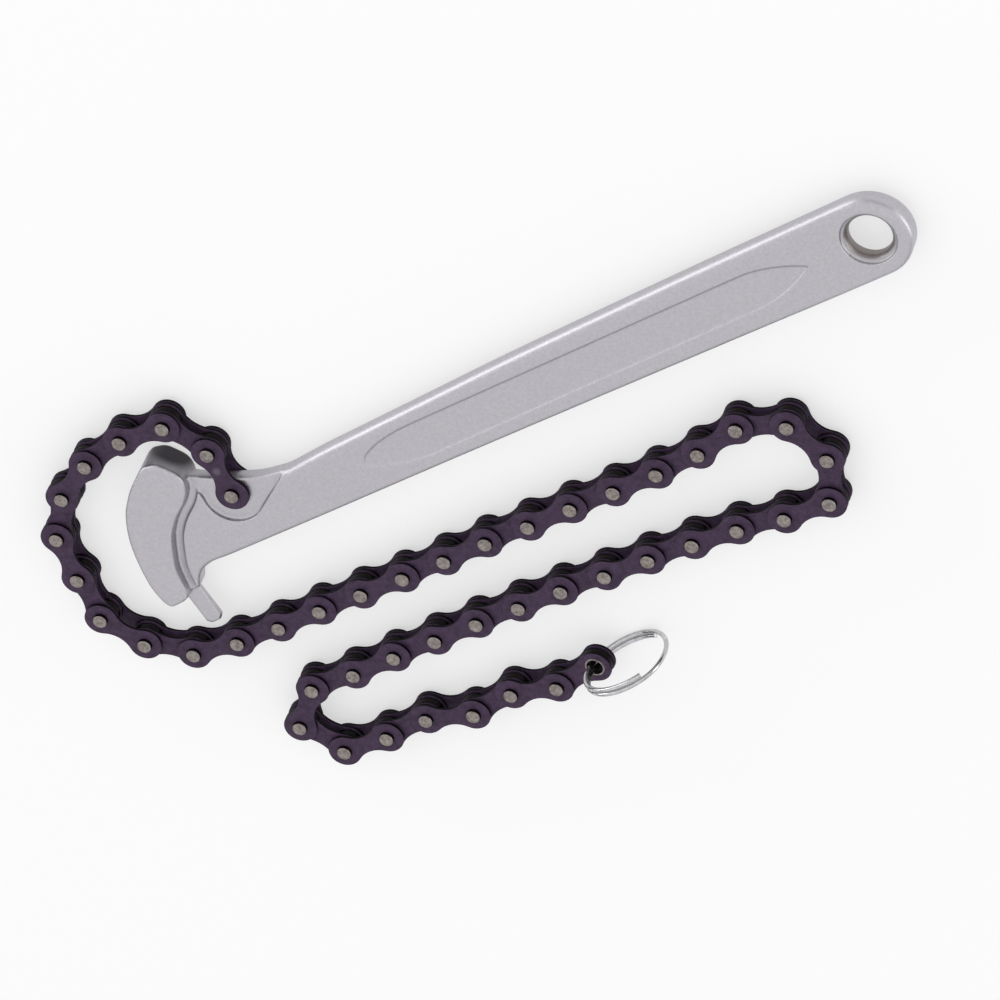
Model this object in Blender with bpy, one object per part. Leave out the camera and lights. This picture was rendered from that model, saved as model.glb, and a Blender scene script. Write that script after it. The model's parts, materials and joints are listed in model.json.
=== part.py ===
"""Chain wrench: a forged handle with a curved jaw, a 46-link roller chain and a split ring.

Metres, +Z up. The tool lies on its side as it is put down: X runs along the handle from the jaw to
the hanging hole, and the origin is the middle of the jaw's flat underside, which rests on the table.
The handle and the chain share one middle plane, half the jaw's thickness above the table.
"""

import math

import bmesh
import bpy
from mathutils import Matrix, Vector

# Forged handle
JAW_THICKNESS = 0.0100
JAW_WIDTH = 0.0270
JAW_LENGTH = 0.0378
JAW_EDGE_ROUND = 0.0006
JAW_REST_SHARES = (0.32, 0.47)
JAW_CLEARANCE = 0.0039
HORN_ABOVE_ANCHOR = 0.0172
SHANK_THICKNESS = 0.0064
SHANK_EDGE_ROUND = 0.0014
SHANK_REACH = 0.1856
SHANK_END_RADIUS = 0.01065
SHANK_AXIS_BELOW_ANCHOR = 0.00705
EYE_RADIUS = 0.0047
SPUR_WIDTH = 0.0046
SPUR_LENGTH = 0.0100
SPUR_THICKNESS = 0.0020
SPUR_TIP_CUT = 0.0010
SPUR_ROOT = 0.0040
SPUR_SHARE = 0.17
GROOVE_WIDTH = 0.0023
POCKET_RADIUS = 0.0079
POCKET_RUNOUT = 0.0164
POCKET_FLOOR_THICKNESS = 0.0040
PANEL_START = 0.0361
PANEL_LENGTH = 0.1325
PANEL_WIDTH = 0.0100
PANEL_NOSE = 0.0180
PANEL_DEPTH = 0.0004
HOLE_RADIUS = 0.0054
HOLE_MOUTH_RADIUS = 0.0069
HOLE_LAND = 0.0019
HOLE_RIM = 0.0012
ANCHOR_BORE_RADIUS = 0.0021

# Roller chain
PITCH = 0.0127
LOBE_RADIUS = 0.0043
OUTER_WAIST = 0.0046
INNER_WAIST = 0.0054
PLATE_THICKNESS = 0.0009
INNER_WIDTH = 0.0022
PLATE_GAP = 0.0003
PIN_RADIUS = 0.0018
PIN_PROUD = 0.0011
BUSH_BORE_RADIUS = 0.00215
BUSH_RADIUS = 0.0026
ROLLER_RADIUS = 0.003875
ROLLER_GAP = 0.0003
RIVET_GAP = 0.0002
CHAIN_CLEARANCE = 0.0020

# Split ring
RING_RADIUS = 0.0111
RING_WIRE_RADIUS = 0.0006
RING_TURN_GAP = 0.00045
RING_HEADING = -5.0
RING_LEAN = 25.6
RING_SEAM = 209.0
RING_WINDOW = 57.0

# How far cutters run past what they cut, and angles in degrees
OVERRUN = 0.0020
SMOOTH_ANGLE = 35.0
ROUND_FROM_ANGLE = 60.0
END_ARC = 88.0
POCKET_ARC = (165.0, 298.0)

# Link headings in degrees from the handle's axis, from the anchor pin to the ring
LEAD_IN = (83, 117)
OVER_HORN = (174, 189, 205, 227, 258)
DOWN_FRONT = (261,)
UNDER_SPUR = (298, 322, 351)
OUTWARD_RUN = (357, 359, 358, 358, 359, 0, 358, 359, 358, 359, 2, 9)
RIGHT_FOLD = (338, 287, 239, 176)
RETURN_RUN = (170, 175, 176, 177, 176, 178, 178, 179, 179, 180, 177)
LEFT_FOLD = (220, 299, 355)
LAST_RUN = (2, 342, 5, 347, 6)
# The ring lifts the chain's last two links off the table by the play in their joints
LAST_PITCHES = (3.0, 6.0)

# Outlines as shares of the box that they fill, from its front lower corner
JAW_FRONT_SHARES = (
    (0.685, 0.985), (0.485, 0.893), (0.370, 0.821), (0.270, 0.743), (0.156, 0.607),
    (0.081, 0.468), (0.030, 0.324), (0.000, 0.182), (0.012, 0.060), (0.052, 0.000),
)
JAW_FOOT_SHARES = ((0.200, 0.003), (0.267, 0.019))
JAW_REAR_SHARES = (
    (0.285, 0.045), (0.333, 0.198), (0.396, 0.299), (0.522, 0.447), (0.622, 0.524),
    (0.733, 0.586), (0.859, 0.642), (0.959, 0.709), (1.000, 0.781), (0.993, 0.850),
    (0.940, 0.915), (0.868, 0.976), (0.744, 1.000),
)
NECK_SHARES = ((0.389, 0.027), (0.452, 0.092), (0.541, 0.140), (0.678, 0.161))
NECK_INSIDE_SHARES = ((0.80, 0.80), (0.32, 0.47), (0.20, 0.10), (0.28, 0.025))
# The web's upper side about the anchor pin, as shares of the eye's radius
EYE_SHARES = ((3.49, -0.06), (2.00, 0.19), (0.96, 0.57), (0.00, 1.00), (-0.85, 1.42), (-1.66, 1.93))
# Half widths of the shank along its reach, as shares of the end's radius
SHANK_LOWER_SHARES = ((-0.064, 0.733), (0.10, 0.775), (0.30, 0.81), (0.50, 0.859), (0.75, 0.928), (0.92, 0.985))
SHANK_UPPER_SHARES = ((0.92, 0.995), (0.75, 0.975), (0.60, 0.94), (0.45, 0.888), (0.31, 0.804), (0.15, 0.708))

# Counts of faces
END_STEPS = 14
HOLE_STEPS = 24
PANEL_STEPS = 5
POCKET_STEPS = 8
CURVE_STEPS = 2
ROUND_SEGMENTS = 2
LOBE_STEPS = 7
WAIST_STEPS = 2
PIN_SIDES = 8
BUSH_SIDES = 12
ROLLER_SIDES = 10
RING_STEPS_PER_TURN = 24

# Places that follow from the sizes above
MIDDLE = JAW_THICKNESS / 2
ANCHOR = Vector((
    JAW_WIDTH * (1 - JAW_REST_SHARES[0]) + JAW_CLEARANCE + LOBE_RADIUS,
    JAW_LENGTH * (1 - JAW_REST_SHARES[1]) - HORN_ABOVE_ANCHOR,
    MIDDLE,
))
SHANK_END = Vector((ANCHOR.x + SHANK_REACH, ANCHOR.y - SHANK_AXIS_BELOW_ANCHOR, MIDDLE))
INNER_PLATE = INNER_WIDTH / 2
OUTER_PLATE = INNER_PLATE + PLATE_THICKNESS + PLATE_GAP
PIN_END = OUTER_PLATE + PLATE_THICKNESS + PIN_PROUD


def clear_scene():
    for obj in list(bpy.data.objects):
        bpy.data.objects.remove(obj)


def material(name, colour, roughness, metallic):
    made = bpy.data.materials.new(name)
    made.use_nodes = True
    shader = made.node_tree.nodes["Principled BSDF"]
    shader.inputs["Base Color"].default_value = (*colour, 1.0)
    shader.inputs["Roughness"].default_value = roughness
    shader.inputs["Metallic"].default_value = metallic
    return made


def polar(centre, radius, degrees):
    angle = math.radians(degrees)
    return (centre[0] + radius * math.cos(angle), centre[1] + radius * math.sin(angle))


def arc(centre, radius, start, end, steps):
    """Points on an arc, both ends included, with angles in degrees."""
    return [polar(centre, radius, start + (end - start) * step / steps) for step in range(steps + 1)]


def smooth(points, steps=CURVE_STEPS):
    """A curve through the points, with this many steps from each to the next."""
    ends = [points[0], *points, points[-1]]
    found = []
    for before, start, end, after in zip(ends, ends[1:], ends[2:], ends[3:]):
        for step in range(steps):
            t = step / steps
            found.append(tuple(
                (2 * b + (c - a) * t + (2 * a - 5 * b + 4 * c - d) * t**2 + (3 * b - a - 3 * c + d) * t**3) / 2
                for a, b, c, d in zip(before, start, end, after)
            ))
    return [*found, tuple(points[-1])]


def grown(points, distance):
    """The outline moved outwards, for one that runs anticlockwise."""
    moved = []
    for before, here, after in zip([points[-1], *points], points, [*points[1:], points[0]]):
        into = (Vector(here) - Vector(before)).normalized()
        out_of = (Vector(after) - Vector(here)).normalized()
        side = Vector((into.y + out_of.y, -into.x - out_of.x)).normalized()
        moved.append(tuple(Vector(here) + side * distance))
    return moved


def jaw_point(shares):
    """A point of the jaw's box, whose rest point is the origin."""
    return (
        (shares[0] - JAW_REST_SHARES[0]) * JAW_WIDTH,
        (shares[1] - JAW_REST_SHARES[1]) * JAW_LENGTH,
    )


def eye_point(shares):
    return (ANCHOR.x + shares[0] * EYE_RADIUS, ANCHOR.y + shares[1] * EYE_RADIUS)


def shank_point(shares, side):
    return (ANCHOR.x + shares[0] * SHANK_REACH, SHANK_END.y + side * shares[1] * SHANK_END_RADIUS)


def jaw_outline():
    front = smooth([jaw_point(shares) for shares in JAW_FRONT_SHARES])
    foot = [jaw_point(shares) for shares in JAW_FOOT_SHARES]
    rear = smooth([jaw_point(shares) for shares in JAW_REAR_SHARES])
    return front + foot + rear


def shank_outline():
    neck = smooth([jaw_point(shares) for shares in NECK_SHARES])
    lower = [shank_point(shares, -1) for shares in SHANK_LOWER_SHARES]
    end = arc(SHANK_END, SHANK_END_RADIUS, -END_ARC, END_ARC, END_STEPS)
    upper = smooth([shank_point(shares, 1) for shares in SHANK_UPPER_SHARES])
    eye = smooth([eye_point(shares) for shares in EYE_SHARES])
    inside = [jaw_point(shares) for shares in NECK_INSIDE_SHARES]
    return neck + lower + end + upper + eye + inside


def pocket_outline():
    """The recess round the anchor pin, open at the web's upper side."""
    bowl = arc(ANCHOR, POCKET_RADIUS, *POCKET_ARC, POCKET_STEPS)
    runout = (ANCHOR.x + POCKET_RUNOUT, ANCHOR.y)
    beyond = (runout[0] + OVERRUN, runout[1] + OVERRUN)
    above = (ANCHOR.x - POCKET_RADIUS, ANCHOR.y + HORN_ABOVE_ANCHOR)
    return [*bowl, runout, beyond, above]


def panel_outline():
    """The long shallow panel on each side of the shank, pointed at both ends."""
    half = PANEL_WIDTH / 2
    start = ANCHOR.x + PANEL_START
    nose = [(PANEL_NOSE * (1 - math.cos(a)), half * math.sin(a)) for a in
            (math.pi / 2 * step / PANEL_STEPS for step in range(PANEL_STEPS + 1))]
    left_low = [(start + x, SHANK_END.y - y) for x, y in nose]
    right_low = [(start + PANEL_LENGTH - x, SHANK_END.y - y) for x, y in reversed(nose)]
    right_high = [(start + PANEL_LENGTH - x, SHANK_END.y + y) for x, y in nose[1:]]
    left_high = [(start + x, SHANK_END.y + y) for x, y in reversed(nose[1:])]
    return left_low + right_low + right_high + left_high


def spur_outline():
    """The tongue below the jaw that a link of the chain hooks over."""
    left, foot = jaw_point((SPUR_SHARE, 0.0))
    right = left + SPUR_WIDTH
    tip = foot - SPUR_LENGTH
    root = foot + SPUR_ROOT
    return [
        (left, root),
        (left, tip + SPUR_TIP_CUT),
        (left + SPUR_TIP_CUT, tip),
        (right - SPUR_TIP_CUT, tip),
        (right, tip + SPUR_TIP_CUT),
        (right, root),
    ]


def plate_outline(waist):
    """A link plate: two round lobes a pitch apart and a hollowed waist, with its first pin at (0, 0)."""
    half, neck = PITCH / 2, waist / 2
    hollow = (half**2 + neck**2 - LOBE_RADIUS**2) / (2 * (LOBE_RADIUS - neck))
    touch = math.degrees(math.atan2(neck + hollow, half))
    far = arc((PITCH, 0), LOBE_RADIUS, touch - 180, 180 - touch, LOBE_STEPS)
    top = arc((half, neck + hollow), hollow, -touch, touch - 180, WAIST_STEPS)[1:-1]
    near = arc((0, 0), LOBE_RADIUS, touch, 360 - touch, LOBE_STEPS)
    low = arc((half, -neck - hollow), hollow, 180 - touch, touch, WAIST_STEPS)[1:-1]
    return far + top + near + low


def prism_mesh(name, outline, low, high):
    """A closed prism over an anticlockwise outline."""
    shape = bmesh.new()
    face = shape.faces.new([shape.verts.new((x, y, low)) for x, y in outline])
    lifted = bmesh.ops.extrude_face_region(shape, geom=[face])["geom"]
    for vert in (item for item in lifted if isinstance(item, bmesh.types.BMVert)):
        vert.co.z = high
    bmesh.ops.recalc_face_normals(shape, faces=shape.faces)
    mesh = bpy.data.meshes.new(name)
    shape.to_mesh(mesh)
    shape.free()
    return mesh


def turned_mesh(name, profile, centre, sides):
    """A solid of revolution about the vertical through centre, from (radius, height) pairs."""
    shape = bmesh.new()
    rings = []
    for radius, height in profile:
        points = arc(centre, radius, 0, 360, sides)[:-1]
        rings.append([shape.verts.new((x, y, height)) for x, y in points])
    for low, high in zip(rings, rings[1:]):
        for i in range(sides):
            j = (i + 1) % sides
            shape.faces.new((low[i], low[j], high[j], high[i]))
    shape.faces.new(rings[-1])
    shape.faces.new(list(reversed(rings[0])))
    bmesh.ops.recalc_face_normals(shape, faces=shape.faces)
    mesh = bpy.data.meshes.new(name)
    shape.to_mesh(mesh)
    shape.free()
    return mesh


def tube_mesh(name, outer, inner, half, sides):
    """A round sleeve with a bore, with its middle at the origin."""
    shape = bmesh.new()
    loops = []
    for radius, height in ((outer, -half), (outer, half), (inner, half), (inner, -half)):
        points = arc((0, 0), radius, 0, 360, sides)[:-1]
        loops.append([shape.verts.new((x, y, height)) for x, y in points])
    for first, second in zip(loops, [*loops[1:], loops[0]]):
        for i in range(sides):
            j = (i + 1) % sides
            shape.faces.new((first[i], first[j], second[j], second[i]))
    bmesh.ops.recalc_face_normals(shape, faces=shape.faces)
    mesh = bpy.data.meshes.new(name)
    shape.to_mesh(mesh)
    shape.free()
    return mesh


def add_object(name, mesh, look=None):
    obj = bpy.data.objects.new(name, mesh)
    bpy.context.scene.collection.objects.link(obj)
    if look:
        mesh.materials.append(look)
    return obj


def helper(name, mesh):
    """A shape that is joined to or cut from another and is no part by itself."""
    obj = add_object(name, mesh)
    obj.hide_render = True
    obj.display_type = "WIRE"
    return obj


def boolean(obj, other, operation):
    modifier = obj.modifiers.new(other.name, "BOOLEAN")
    modifier.operation = operation
    modifier.object = other
    modifier.solver = "EXACT"


def rounded(obj, width):
    modifier = obj.modifiers.new("Rounded edges", "BEVEL")
    modifier.width = width
    modifier.segments = ROUND_SEGMENTS
    modifier.limit_method = "ANGLE"
    modifier.angle_limit = math.radians(ROUND_FROM_ANGLE)
    modifier.use_clamp_overlap = True


def shade(mesh):
    mesh.shade_smooth()
    mesh.set_sharp_from_angle(angle=math.radians(SMOOTH_ANGLE))


def evaluated_mesh(obj, name):
    """The object's mesh with its modifiers done, after which the object and its helpers go."""
    graph = bpy.context.evaluated_depsgraph_get()
    mesh = bpy.data.meshes.new_from_object(obj.evaluated_get(graph), depsgraph=graph)
    mesh.name = name
    for other in [modifier.object for modifier in obj.modifiers if modifier.type == "BOOLEAN"]:
        bpy.data.objects.remove(other)
    bpy.data.objects.remove(obj)
    return mesh


def handle(look):
    """One forging: shank and web, jaw pad, spur, anchor pocket, side panels and hanging hole."""
    half = SHANK_THICKNESS / 2
    floor = POCKET_FLOOR_THICKNESS / 2
    over = JAW_THICKNESS / 2 + OVERRUN
    body = add_object("handle", prism_mesh("handle", shank_outline(), MIDDLE - half, MIDDLE + half), look)
    rounded(body, SHANK_EDGE_ROUND)
    recesses = (
        ("pocket", pocket_outline(), floor),
        ("groove", grown(jaw_outline(), GROOVE_WIDTH), floor),
        ("panel", panel_outline(), half - PANEL_DEPTH),
    )
    for name, outline, depth in recesses:
        upper = prism_mesh(name, outline, MIDDLE + depth, MIDDLE + over)
        lower = prism_mesh(name, outline, MIDDLE - over, MIDDLE - depth)
        boolean(body, helper(name + "_upper_cut", upper), "DIFFERENCE")
        boolean(body, helper(name + "_lower_cut", lower), "DIFFERENCE")
    jaw = helper("jaw_pad", prism_mesh("jaw_pad", jaw_outline(), 0, JAW_THICKNESS))
    rounded(jaw, JAW_EDGE_ROUND)
    boolean(body, jaw, "UNION")
    tongue = SPUR_THICKNESS / 2
    spur = helper("spur", prism_mesh("spur", spur_outline(), MIDDLE - tongue, MIDDLE + tongue))
    boolean(body, spur, "UNION")
    rim = half - HOLE_RIM
    land = HOLE_LAND / 2
    profile = (
        (HOLE_MOUTH_RADIUS, MIDDLE - half - OVERRUN),
        (HOLE_MOUTH_RADIUS, MIDDLE - rim),
        (HOLE_RADIUS, MIDDLE - land),
        (HOLE_RADIUS, MIDDLE + land),
        (HOLE_MOUTH_RADIUS, MIDDLE + rim),
        (HOLE_MOUTH_RADIUS, MIDDLE + half + OVERRUN),
    )
    hole = helper("hanging_hole_cut", turned_mesh("hanging_hole_cut", profile, SHANK_END, HOLE_STEPS))
    boolean(body, hole, "DIFFERENCE")
    bore_profile = ((ANCHOR_BORE_RADIUS, -OVERRUN), (ANCHOR_BORE_RADIUS, JAW_THICKNESS + OVERRUN))
    bore = helper("anchor_bore_cut", turned_mesh("anchor_bore_cut", bore_profile, ANCHOR, BUSH_SIDES))
    boolean(body, bore, "DIFFERENCE")
    shade(body.data)
    return body


def pin_mesh(name, place=0.0):
    profile = ((PIN_RADIUS, -PIN_END), (PIN_RADIUS, PIN_END))
    return turned_mesh(name, profile, (place, 0), PIN_SIDES)


def outer_link_mesh():
    """Two outer plates riveted to two pins."""
    plates = [(OUTER_PLATE, OUTER_PLATE + PLATE_THICKNESS), (-OUTER_PLATE - PLATE_THICKNESS, -OUTER_PLATE)]
    upper, lower = (prism_mesh("plate", plate_outline(OUTER_WAIST), *heights) for heights in plates)
    link = add_object("outer_link", upper)
    boolean(link, helper("lower_plate", lower), "UNION")
    for place in (0.0, PITCH):
        boolean(link, helper("pin", pin_mesh("pin", place)), "UNION")
    return evaluated_mesh(link, "outer_link")


def inner_link_mesh():
    """Two inner plates with their bushes and rollers, and a bore through each bush for the pin."""
    outside = INNER_PLATE + PLATE_THICKNESS
    upper = prism_mesh("plate", plate_outline(INNER_WAIST), INNER_PLATE, outside)
    lower = prism_mesh("plate", plate_outline(INNER_WAIST), -outside, -INNER_PLATE)
    seat = INNER_PLATE + PLATE_THICKNESS / 2
    link = add_object("inner_link", upper)
    boolean(link, helper("lower_plate", lower), "UNION")
    for place in (0.0, PITCH):
        roller = turned_mesh("roller", ((ROLLER_RADIUS, -seat), (ROLLER_RADIUS, seat)), (place, 0), ROLLER_SIDES)
        boolean(link, helper("roller", roller), "UNION")
    for place in (0.0, PITCH):
        through = outside + OVERRUN
        profile = ((BUSH_BORE_RADIUS, -through), (BUSH_BORE_RADIUS, through))
        boolean(link, helper("bore", turned_mesh("bore", profile, (place, 0), PIN_SIDES)), "DIFFERENCE")
    return evaluated_mesh(link, "inner_link")


def drilled_plate_mesh(name, waist, low, high, hole_radius, sides):
    """One link plate by itself, with a hole at each end."""
    plate = add_object(name, prism_mesh(name, plate_outline(waist), low, high))
    for place in (0.0, PITCH):
        profile = ((hole_radius, low - OVERRUN), (hole_radius, high + OVERRUN))
        boolean(plate, helper("plate_hole", turned_mesh("plate_hole", profile, (place, 0), sides)), "DIFFERENCE")
    return evaluated_mesh(plate, name)


def place(obj, hinge, along=0.0):
    """Puts a piece on its link, this far from the link's hinge."""
    obj.parent = hinge
    obj.location = (along, 0, 0)
    shade(obj.data)


def split_outer_link(number, hinge, pin_names, plates, pins):
    """An outer link as its four pieces: two plates and the two pins riveted in them."""
    hole = PIN_RADIUS + RIVET_GAP
    heights = {"upper": (OUTER_PLATE, OUTER_PLATE + PLATE_THICKNESS),
               "lower": (-OUTER_PLATE - PLATE_THICKNESS, -OUTER_PLATE)}
    for side, (low, high) in heights.items():
        name = f"link_{number:02d}_{side}_plate"
        mesh = drilled_plate_mesh(name, OUTER_WAIST, low, high, hole / math.cos(math.pi / PIN_SIDES), PIN_SIDES)
        place(add_object(name, mesh, plates), hinge)
    for name, along in zip(pin_names, (0.0, PITCH)):
        place(add_object(name, pin_mesh(name), pins), hinge, along)


def split_inner_link(number, hinge, plates, pins):
    """An inner link as its six pieces: two plates, two bushes pressed in them and a roller round each."""
    outside = INNER_PLATE + PLATE_THICKNESS
    hole = (BUSH_RADIUS + RIVET_GAP) / math.cos(math.pi / BUSH_SIDES)
    heights = {"upper": (INNER_PLATE, outside), "lower": (-outside, -INNER_PLATE)}
    for side, (low, high) in heights.items():
        name = f"link_{number:02d}_{side}_plate"
        mesh = drilled_plate_mesh(name, INNER_WAIST, low, high, hole, BUSH_SIDES)
        place(add_object(name, mesh, plates), hinge)
    roller_half = INNER_PLATE - ROLLER_GAP / 2
    for end, along in (("first", 0.0), ("last", PITCH)):
        name = f"link_{number:02d}_{end}_bush"
        bush = tube_mesh(name, BUSH_RADIUS, BUSH_BORE_RADIUS, outside, BUSH_SIDES)
        place(add_object(name, bush, pins), hinge, along)
        name = f"link_{number:02d}_{end}_roller"
        roller = tube_mesh(name, ROLLER_RADIUS, hole, roller_half, BUSH_SIDES)
        place(add_object(name, roller, plates), hinge, along)


def headings():
    """The headings of all links. A longer jaw or spur takes more of them down its front, from the outward run."""
    around = LEAD_IN + OVER_HORN + DOWN_FRONT + UNDER_SPUR
    drop = -PITCH * sum(math.sin(math.radians(heading)) for heading in around)
    spur_tip = jaw_point((SPUR_SHARE, 0.0))[1] - SPUR_LENGTH
    needed = ANCHOR.y - spur_tip + CHAIN_CLEARANCE + LOBE_RADIUS
    more = max(0, math.ceil((needed - drop) / PITCH))
    loop = OVER_HORN + DOWN_FRONT * (1 + more) + UNDER_SPUR
    return LEAD_IN + loop + OUTWARD_RUN[more:] + RIGHT_FOLD + RETURN_RUN + LEFT_FOLD + LAST_RUN


def link_frames():
    """Each link's matrix: its origin on its first pin and its X along the link, and then the last bush's place."""
    frames = []
    point = ANCHOR.copy()
    directions = headings()
    pitches = [0.0] * (len(directions) - len(LAST_PITCHES)) + list(LAST_PITCHES)
    for heading, rise in zip(directions, pitches):
        turn = Matrix.Rotation(math.radians(heading), 4, "Z") @ Matrix.Rotation(math.radians(-rise), 4, "Y")
        frames.append(Matrix.Translation(point) @ turn)
        point = frames[-1] @ Vector((PITCH, 0, 0))
    return frames, point


def hinge_empty(name, matrix, before):
    """An empty on a hinge's axis, which carries its link and every hinge after it."""
    empty = bpy.data.objects.new(name, None)
    bpy.context.scene.collection.objects.link(empty)
    empty.empty_display_size = PITCH / 2
    empty.parent = before
    empty.matrix_world = matrix
    return empty


def chain(plates, pins):
    outer, inner = outer_link_mesh(), inner_link_mesh()
    outer.materials.append(plates)
    inner.materials.append(plates)
    frames, bush = link_frames()
    last = len(frames)
    hinge = None
    for number, matrix in enumerate(frames, 1):
        hinge = hinge_empty(f"hinge_{number:02d}", matrix, hinge)
        if number == 1:
            split_outer_link(number, hinge, ("anchor_pin", "link_01_pin"), plates, pins)
        elif number == last - 1:
            names = (f"link_{number:02d}_first_pin", f"link_{number:02d}_last_pin")
            split_outer_link(number, hinge, names, plates, pins)
        elif number == last:
            split_inner_link(number, hinge, plates, pins)
        else:
            place(add_object(f"link_{number:02d}", outer if number % 2 else inner), hinge)
    return hinge_empty("ring_hinge", Matrix.Translation(bush) @ ring_turn(), hinge)


def ring_path():
    """The wire's middle line, upright in XZ with the bush at the origin: nearly two turns side by side along Y.

    The bush is at angle 0, where both turns pass through it. At the seam the wire runs once, and steps across.
    """
    step = 2 * RING_WIRE_RADIUS + RING_TURN_GAP
    turns = 720 - 2 * RING_WINDOW
    count = round(turns / 360 * RING_STEPS_PER_TURN)
    bow = (INNER_PLATE + PLATE_THICKNESS) ** 2 / (2 * RING_RADIUS)
    centre = (RING_RADIUS - bow, 0)
    points = []
    for i in range(count + 1):
        beyond = RING_WINDOW + turns * i / count
        across = min(max((beyond - 360 + RING_WINDOW) / (2 * RING_WINDOW), 0), 1)
        x, z = polar(centre, RING_RADIUS, 180 - RING_SEAM - beyond)
        points.append(Vector((x, step * (across - 1 / 2), z)))
    return points


def ring_turn():
    """The ring stands upright with its wire through the last bush, leaning towards the chain."""
    heading = Matrix.Rotation(math.radians(RING_HEADING), 4, "Z")
    lean = Matrix.Rotation(math.radians(-RING_LEAN), 4, "Y")
    return heading @ lean


def least_turn_gap(points):
    """The least gap between the ring's two turns, between points at least half a turn apart on the wire."""
    half_turn = RING_STEPS_PER_TURN // 2
    pairs = ((a, b) for i, a in enumerate(points) for b in points[i + half_turn:])
    return min((a - b).length for a, b in pairs) - 2 * RING_WIRE_RADIUS


def split_ring(hinge, look):
    points = ring_path()
    curve = bpy.data.curves.new("split_ring", "CURVE")
    curve.dimensions = "3D"
    curve.bevel_depth = RING_WIRE_RADIUS
    curve.bevel_resolution = 1
    curve.use_fill_caps = True
    spline = curve.splines.new("POLY")
    spline.points.add(len(points) - 1)
    for target, point in zip(spline.points, points):
        target.co = (*point, 1)
    curve.materials.append(look)
    ring = add_object("split_ring", curve)
    ring.parent = hinge
    print(f"least gap between the ring's turns: {least_turn_gap(points) * 1000:.2f} mm")
    return ring


def main():
    clear_scene()
    plated = material("satin_plated_steel", (0.49, 0.48, 0.52), 0.38, 0.9)
    blackened = material("blackened_steel", (0.065, 0.048, 0.085), 0.45, 0.6)
    bright = material("ground_steel", (0.36, 0.33, 0.30), 0.35, 0.9)
    nickel = material("nickel_wire", (0.62, 0.62, 0.64), 0.18, 1.0)
    handle(plated)
    ring_hinge = chain(blackened, bright)
    split_ring(ring_hinge, nickel)


main()
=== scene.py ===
"""The looks of the chain wrench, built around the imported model.

Metres, +Z up. The tool lies on its side: X runs along the handle from the jaw to the hanging hole, and the
origin is the middle of the jaw's flat underside. The handle and the chain share one middle plane.
"""

import json
import math

import bmesh
import bpy
import numpy as np
from mathutils import Matrix, Vector

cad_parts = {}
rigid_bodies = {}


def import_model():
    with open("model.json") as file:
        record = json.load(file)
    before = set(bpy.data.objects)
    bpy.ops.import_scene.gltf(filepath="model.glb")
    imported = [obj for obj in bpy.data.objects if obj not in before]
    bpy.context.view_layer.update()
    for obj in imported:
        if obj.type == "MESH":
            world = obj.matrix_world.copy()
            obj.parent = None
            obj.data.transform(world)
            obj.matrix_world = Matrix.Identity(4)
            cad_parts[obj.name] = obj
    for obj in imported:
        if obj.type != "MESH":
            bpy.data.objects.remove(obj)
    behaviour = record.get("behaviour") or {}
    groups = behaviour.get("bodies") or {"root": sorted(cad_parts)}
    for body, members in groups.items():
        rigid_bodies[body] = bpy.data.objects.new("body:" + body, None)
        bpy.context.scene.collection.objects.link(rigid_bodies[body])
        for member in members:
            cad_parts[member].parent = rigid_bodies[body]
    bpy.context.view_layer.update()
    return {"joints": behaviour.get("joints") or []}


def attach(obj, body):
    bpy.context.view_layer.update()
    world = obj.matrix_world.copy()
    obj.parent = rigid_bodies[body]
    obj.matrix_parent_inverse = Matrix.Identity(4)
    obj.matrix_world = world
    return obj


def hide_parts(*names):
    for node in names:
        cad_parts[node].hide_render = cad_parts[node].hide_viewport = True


# Forged handle
JAW_THICKNESS = 0.0100
JAW_WIDTH = 0.0270
JAW_LENGTH = 0.0378
JAW_EDGE_ROUND = 0.0008
JAW_REST_SHARES = (0.32, 0.47)
JAW_CLEARANCE = 0.0039
HORN_ABOVE_ANCHOR = 0.0172
SHANK_THICKNESS = 0.0064
SHANK_EDGE_ROUND = 0.0026
SHANK_LOWER_ROUND_SHARE = 0.42
SHANK_REACH = 0.1856
SHANK_END_RADIUS = 0.01065
SHANK_AXIS_BELOW_ANCHOR = 0.00705
EYE_RADIUS = 0.0047
SPUR_WIDTH = 0.0046
SPUR_LENGTH = 0.0100
SPUR_THICKNESS = 0.0020
SPUR_TIP_CUT = 0.0010
SPUR_EDGE_ROUND = 0.0004
SPUR_ROOT = 0.0040
SPUR_SHARE = 0.17
GROOVE_WIDTH = 0.0023
GROOVE_FILLET = 0.0006
POCKET_RADIUS = 0.0079
POCKET_RUNOUT = 0.0164
POCKET_FLOOR_THICKNESS = 0.0040
POCKET_FILLET = 0.0004
PANEL_START = 0.0361
PANEL_LENGTH = 0.1325
PANEL_WIDTH = 0.0100
PANEL_NOSE = 0.0180
PANEL_DEPTH = 0.0005
HOLE_RADIUS = 0.0054
HOLE_MOUTH_RADIUS = 0.0069
HOLE_STEP_RADIUS = 0.0062
HOLE_LAND = 0.0019
HOLE_RIM = 0.0010
ANCHOR_BORE_RADIUS = 0.0021
OUTLINE_SPACING = 0.0004
SHANK_CORNER_SPREAD = 0.0007
JAW_CORNER_SPREAD = 0.0004
HANDLE_VOXEL = 0.0003
HANDLE_SMOOTHING = 3
SMOOTHING_STRENGTH = 0.5
BLUR_REACH_SHARE = 3

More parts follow.
